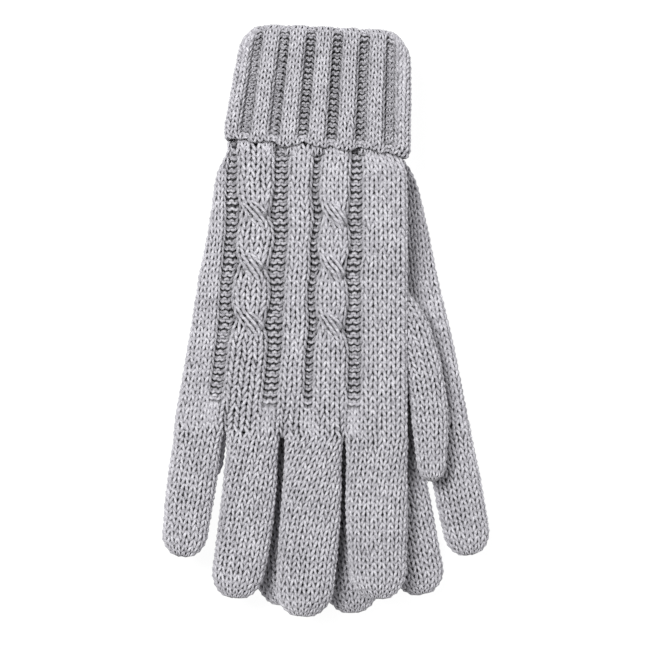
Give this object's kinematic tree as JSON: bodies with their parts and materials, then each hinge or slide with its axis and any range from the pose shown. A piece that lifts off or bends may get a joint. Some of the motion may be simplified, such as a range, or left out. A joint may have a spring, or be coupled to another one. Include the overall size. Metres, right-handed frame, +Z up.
{
  "type": "knitted gloves",
  "caption": "Pair of cable-knit gloves laid flat, one on the other, with five separate digits each and deep ribbed cuffs turned up.",
  "frame": {"origin": "Centre of the pair on the surface it lies on: middle of the overall box in X and Y, lowest face in Z.", "axes": "+Y runs from the fingertips to the cuffs, +X to the right of the pair seen from above, +Z up, from the palms to the backs of the hands."},
  "size_m": [0.1396, 0.25, 0.0303],
  "materials": {
    "cable_knit": "soft matte marl yarn in two light greys, stockinette and cables, slightly hairy",
    "rib_knit": "soft matte marl yarn in two light greys, knitted as a deep three-by-two rib"
  },
  "bodies": {
    "left_hand": {"left_hand": "cable_knit", "left_wrist_rib": "rib_knit"},
    "right_hand": {"right_hand": "cable_knit", "right_wrist_rib": "rib_knit"},
    "left_cuff": {"left_turn_up_cuff": "rib_knit"},
    "right_cuff": {"right_turn_up_cuff": "rib_knit"},
    "left_little": {"left_little_finger": "cable_knit"},
    "left_ring": {"left_ring_finger": "cable_knit"},
    "left_middle": {"left_middle_finger": "cable_knit"},
    "left_index": {"left_index_finger": "cable_knit"},
    "right_little": {"right_little_finger": "cable_knit"},
    "right_ring": {"right_ring_finger": "cable_knit"},
    "right_middle": {"right_middle_finger": "cable_knit"},
    "right_index": {"right_index_finger": "cable_knit"},
    "left_thumb": {"left_thumb": "cable_knit"},
    "right_thumb": {"right_thumb": "cable_knit"}
  },
  "joints": [
    {"name": "right_glove_lift", "type": "slide", "parent": "left_hand", "child": "right_hand", "axis": [0, 0, 1], "range_m": [0, 0.08]},
    {"name": "left_cuff_turn_down", "type": "slide", "parent": "left_hand", "child": "left_cuff", "axis": [0, 1, 0], "range_m": [0, 0.048]},
    {"name": "right_cuff_turn_down", "type": "slide", "parent": "right_hand", "child": "right_cuff", "axis": [0, 1, 0], "range_m": [0, 0.048]},
    {"name": "left_little_spread", "type": "hinge", "parent": "left_hand", "child": "left_little", "pos_m": [0.06053, -0.04157, 0.0065], "axis": [0, 0, 1], "range_deg": [0, 15]},
    {"name": "left_ring_spread", "type": "hinge", "parent": "left_hand", "child": "left_ring", "pos_m": [0.03934, -0.04432, 0.0065], "axis": [0, 0, 1], "range_deg": [0, 8]},
    {"name": "left_middle_spread", "type": "hinge", "parent": "left_hand", "child": "left_middle", "pos_m": [0.01625, -0.04649, 0.0065], "axis": [0, 0, 1], "range_deg": [0, 2]},
    {"name": "left_index_spread", "type": "hinge", "parent": "left_hand", "child": "left_index", "pos_m": [-0.03458, -0.0479, 0.0065], "axis": [0, 0, 1], "range_deg": [-7, 0]},
    {"name": "right_little_fold_back", "type": "hinge", "parent": "right_hand", "child": "right_little", "pos_m": [-0.0536, -0.0432, 0.0263], "axis": [-0.991, 0.1335, 0], "range_deg": [0, 90]},
    {"name": "right_ring_fold_back", "type": "hinge", "parent": "right_hand", "child": "right_ring", "pos_m": [-0.031, -0.046, 0.0263], "axis": [-0.9946, 0.1034, 0], "range_deg": [0, 90]},
    {"name": "right_middle_fold_back", "type": "hinge", "parent": "right_hand", "child": "right_middle", "pos_m": [-0.0054, -0.0472, 0.0263], "axis": [-0.9983, 0.059, 0], "range_deg": [0, 90]},
    {"name": "right_index_fold_back", "type": "hinge", "parent": "right_hand", "child": "right_index", "pos_m": [0.0212, -0.048, 0.0263], "axis": [-1, -0.0058, 0], "range_deg": [0, 90]},
    {"name": "left_thumb_swing", "type": "hinge", "parent": "left_hand", "child": "left_thumb", "pos_m": [-0.041, 0.013, 0.0065], "axis": [0, 0, -1], "range_deg": [0, 30]},
    {"name": "right_thumb_swing", "type": "hinge", "parent": "right_hand", "child": "right_thumb", "pos_m": [0.035, 0.013, 0.0198], "axis": [0, 0, 1], "range_deg": [0, 30]}
  ],
  "couplings": [
    {"joint": "left_ring_spread", "follows": "left_little_spread", "ratio": 0.53333},
    {"joint": "left_middle_spread", "follows": "left_little_spread", "ratio": 0.13333},
    {"joint": "left_index_spread", "follows": "left_little_spread", "ratio": -0.46667}
  ]
}
